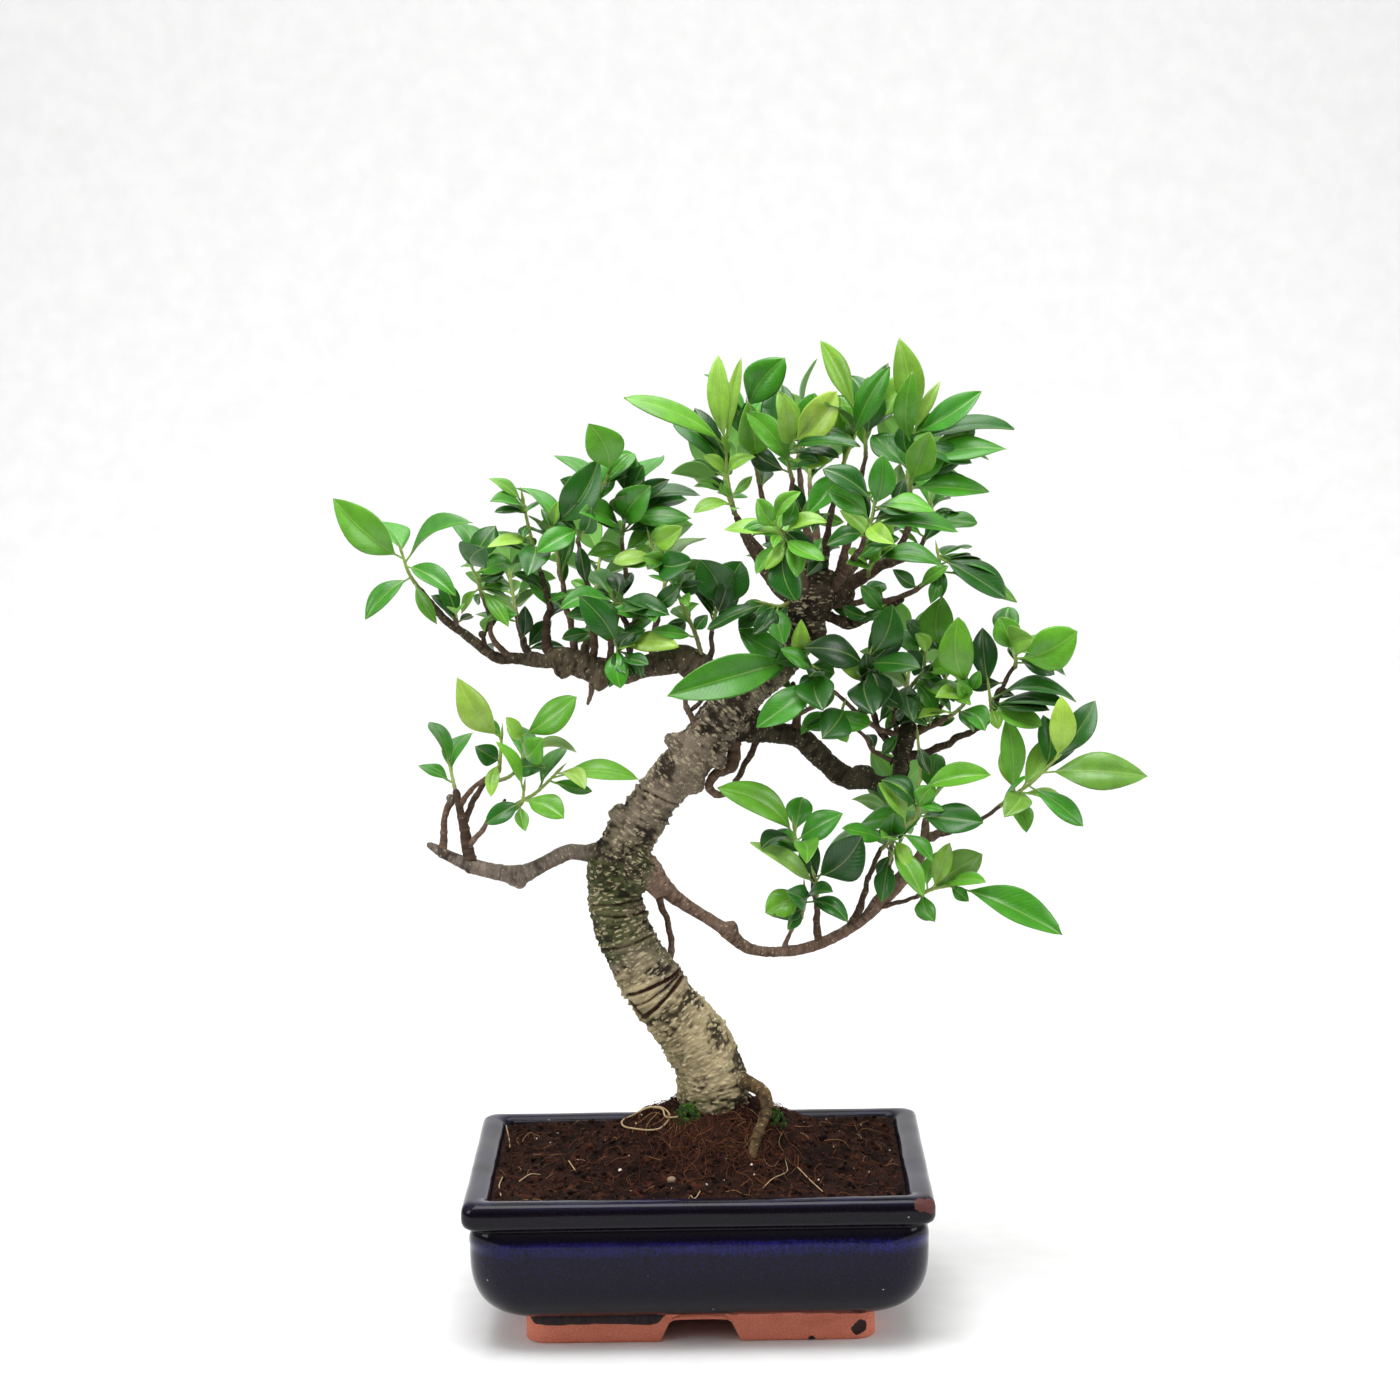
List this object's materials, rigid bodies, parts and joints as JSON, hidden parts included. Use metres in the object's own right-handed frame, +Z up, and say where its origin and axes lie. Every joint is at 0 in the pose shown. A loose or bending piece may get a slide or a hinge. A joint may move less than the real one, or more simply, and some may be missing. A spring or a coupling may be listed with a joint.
{
  "type": "bonsai tree in a pot",
  "caption": "Small S-curved fig bonsai with glossy oval leaves in clouds on wired branches, growing from a soil mound in a dark glazed rectangular pot on a notched foot.",
  "frame": {"origin": "middle of the underside of the whole object's box, on the surface the pot stands on", "axes": "+Z up, +X to the right of the tree's front, +Y to its back, parallel to the pot's sides"},
  "size_m": [0.45, 0.2036, 0.5555],
  "materials": {
    "pot_glaze": "glossy dark blue glaze, bare terracotta foot",
    "screen_plastic": "matte",
    "soil": "rough, moist",
    "moss": "soft",
    "bark": "rough bark with pale lenticels",
    "leaf": "satin to glossy"
  },
  "bodies": {
    "root": {"pot": "pot_glaze", "drain_screen_left": "screen_plastic", "drain_screen_right": "screen_plastic", "soil": "soil", "moss_left": "moss", "moss_right": "moss", "trunk_and_branches": "bark", "left_tip_shoot": "leaf", "left_pad_shoot_1": "leaf", "left_pad_shoot_2": "leaf", "left_back_shoot": "leaf", "inner_left_shoot_1": "leaf", "inner_left_shoot_2": "leaf", "inner_left_shoot_3": "leaf", "inner_left_shoot_4": "leaf", "inner_left_shoot_5": "leaf", "inner_left_shoot_6": "leaf", "inner_left_shoot_7": "leaf", "left_branch_back_shoot": "leaf", "centre_back_shoot": "leaf", "crown_shoot_1": "leaf", "crown_shoot_2": "leaf", "crown_shoot_3": "leaf", "crown_shoot_4": "leaf", "crown_shoot_5": "leaf", "crown_shoot_6": "leaf", "crown_shoot_7": "leaf", "crown_shoot_8": "leaf", "crown_front_shoot_1": "leaf", "crown_front_shoot_2": "leaf", "crown_front_shoot_3": "leaf", "crown_front_shoot_4": "leaf", "crown_right_shoot": "leaf", "crown_back_shoot_1": "leaf", "crown_back_shoot_2": "leaf", "crown_back_shoot_3": "leaf", "trunk_top_shoot": "leaf", "right_pad_shoot_1": "leaf", "right_pad_shoot_2": "leaf", "right_pad_shoot_3": "leaf", "right_pad_shoot_4": "leaf", "right_pad_shoot_5": "leaf", "right_pad_shoot_6": "leaf", "right_pad_shoot_7": "leaf", "right_pad_shoot_8": "leaf", "right_pad_back_shoot": "leaf", "low_right_shoot_1": "leaf", "low_right_shoot_2": "leaf", "low_right_shoot_3": "leaf", "low_right_shoot_4": "leaf", "low_right_shoot_5": "leaf", "low_right_shoot_6": "leaf", "low_right_shoot_7": "leaf", "low_right_back_shoot": "leaf", "low_right_end_shoot": "leaf", "low_left_shoot_1": "leaf", "low_left_shoot_2": "leaf", "low_left_shoot_3": "leaf", "low_left_shoot_4": "leaf", "low_left_shoot_5": "leaf"}
  },
  "joints": []
}
